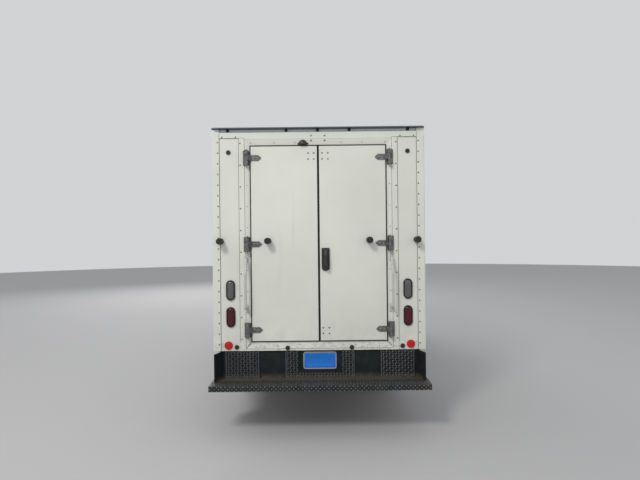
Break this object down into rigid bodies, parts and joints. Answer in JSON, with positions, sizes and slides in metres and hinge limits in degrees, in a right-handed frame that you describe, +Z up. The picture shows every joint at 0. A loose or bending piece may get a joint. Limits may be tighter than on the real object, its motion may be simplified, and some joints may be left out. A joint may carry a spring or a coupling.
{
  "type": "box truck",
  "caption": "Box truck with a short-bonnet van cab, a plain load box with two hinged rear doors, and a step bumper below them.",
  "frame": {"origin": "on the ground below the middle of the whole truck", "axes": "+X forward, +Y to the vehicle's left, +Z up"},
  "size_m": [6.273, 2.5476, 2.8759],
  "materials": {
    "frame_black": "satin",
    "cast_grey": "matte",
    "engine_grey": "matte",
    "steel_grey": "satin",
    "deck_wood": "satin",
    "body_white": "satin",
    "cab_white": "gloss",
    "channel_grey": "satin",
    "zinc_grey": "satin",
    "rubber_black": "matte",
    "trim_black": "matte",
    "lens_clear": "gloss",
    "lens_red": "gloss",
    "lens_amber": "gloss",
    "step_black": "satin",
    "plate_blue": "satin",
    "window_glass": "gloss",
    "floor_black": "matte",
    "dash_grey": "matte",
    "seat_cloth": "matte",
    "bumper_grey": "satin",
    "tyre_black": "matte",
    "rim_white": "satin"
  },
  "bodies": {
    "truck": {"box_front": "body_white", "box_roof": "body_white", "box_side_left": "body_white", "box_side_right": "body_white", "cab_floor": "floor_black", "cab_frame": "cab_white", "cab_roof": "cab_white", "chassis_frame": "frame_black", "dashboard": "dash_grey", "drive_shaft": "steel_grey", "engine": "engine_grey", "exhaust": "steel_grey", "front_bumper": "bumper_grey", "front_suspension": "frame_black", "fuel_tank": "frame_black", "grab_handles": "body_white", "grille": "trim_black", "head_lamps": "lens_clear", "hinge_butts": "zinc_grey", "licence_plate": "plate_blue", "load_floor": "deck_wood", "marker_lamps": "lens_amber", "mud_flaps": "rubber_black", "rear_bumper": "step_black", "rear_portal": "body_white", "rear_suspension": "frame_black", "reversing_lamps": "lens_clear", "roof_channel": "channel_grey", "rubber_buffers": "rubber_black", "seats": "seat_cloth", "steering_wheel": "trim_black", "stop_lamps": "lens_red", "windscreen": "window_glass", "wings": "cab_white"},
    "rear_door_left": {"rear_door_left": "body_white", "hinge_straps_left": "zinc_grey", "door_buffer_left": "rubber_black"},
    "rear_door_right": {"rear_door_right": "body_white", "hinge_straps_right": "zinc_grey", "door_buffer_right": "rubber_black", "latch_handle": "trim_black"},
    "cab_door_left": {"cab_door_left": "cab_white", "door_glass_left": "window_glass", "mirror_left": "trim_black"},
    "cab_door_right": {"cab_door_right": "cab_white", "door_glass_right": "window_glass", "mirror_right": "trim_black"},
    "bonnet": {"bonnet": "cab_white"},
    "knuckle_left": {"knuckle_left": "cast_grey"},
    "knuckle_right": {"knuckle_right": "cast_grey"},
    "tie_rod": {"tie_rod": "frame_black"},
    "wheel_front_left": {"tyre_front_left": "tyre_black", "rim_front_left": "rim_white"},
    "wheel_front_right": {"tyre_front_right": "tyre_black", "rim_front_right": "rim_white"},
    "wheel_rear_left": {"tyre_rear_left": "tyre_black", "rim_rear_left": "rim_white"},
    "wheel_rear_right": {"tyre_rear_right": "tyre_black", "rim_rear_right": "rim_white"}
  },
  "joints": [
    {"name": "rear_door_left_hinge", "type": "hinge", "parent": "truck", "child": "rear_door_left", "pos_m": [-2.9315, 0.675, 1.766], "axis": [0, 0, -1], "range_deg": [0, 135]},
    {"name": "cab_door_left_hinge", "type": "hinge", "parent": "truck", "child": "cab_door_left", "pos_m": [1.8165, 1.014, 0.9], "axis": [0, 0, -1], "range_deg": [0, 68]},
    {"name": "steer_left", "type": "hinge", "parent": "truck", "child": "knuckle_left", "pos_m": [2.2835, 0.785, 0.372], "axis": [0, 0, 1], "range_deg": [-28, 28]},
    {"name": "wheel_front_left_spin", "type": "hinge", "parent": "knuckle_left", "child": "wheel_front_left", "pos_m": [2.2835, 0.867, 0.372], "axis": [0, 1, 0], "continuous": true},
    {"name": "wheel_rear_left_spin", "type": "hinge", "parent": "truck", "child": "wheel_rear_left", "pos_m": [-1.2465, 0.862, 0.372], "axis": [0, 1, 0], "continuous": true},
    {"name": "rear_door_right_hinge", "type": "hinge", "parent": "truck", "child": "rear_door_right", "pos_m": [-2.9315, -0.675, 1.766], "axis": [0, 0, 1], "range_deg": [0, 135]},
    {"name": "cab_door_right_hinge", "type": "hinge", "parent": "truck", "child": "cab_door_right", "pos_m": [1.8165, -1.014, 0.9], "axis": [0, 0, 1], "range_deg": [0, 68]},
    {"name": "steer_right", "type": "hinge", "parent": "truck", "child": "knuckle_right", "pos_m": [2.2835, -0.785, 0.372], "axis": [0, 0, 1], "range_deg": [-28, 28]},
    {"name": "wheel_front_right_spin", "type": "hinge", "parent": "knuckle_right", "child": "wheel_front_right", "pos_m": [2.2835, -0.867, 0.372], "axis": [0, 1, 0], "continuous": true},
    {"name": "wheel_rear_right_spin", "type": "hinge", "parent": "truck", "child": "wheel_rear_right", "pos_m": [-1.2465, -0.862, 0.372], "axis": [0, 1, 0], "continuous": true},
    {"name": "bonnet_hinge", "type": "hinge", "parent": "truck", "child": "bonnet", "pos_m": [1.9905, 0, 1.2], "axis": [0, -1, 0], "range_deg": [0, 50]},
    {"name": "tie_rod_slide", "type": "slide", "parent": "truck", "child": "tie_rod", "axis": [0, 1, 0], "range_m": [-0.058, 0.058]}
  ],
  "couplings": [
    {"joint": "steer_right", "follows": "steer_left", "ratio": 1},
    {"joint": "tie_rod_slide", "follows": "steer_left", "m_per_rad": -0.1165}
  ]
}
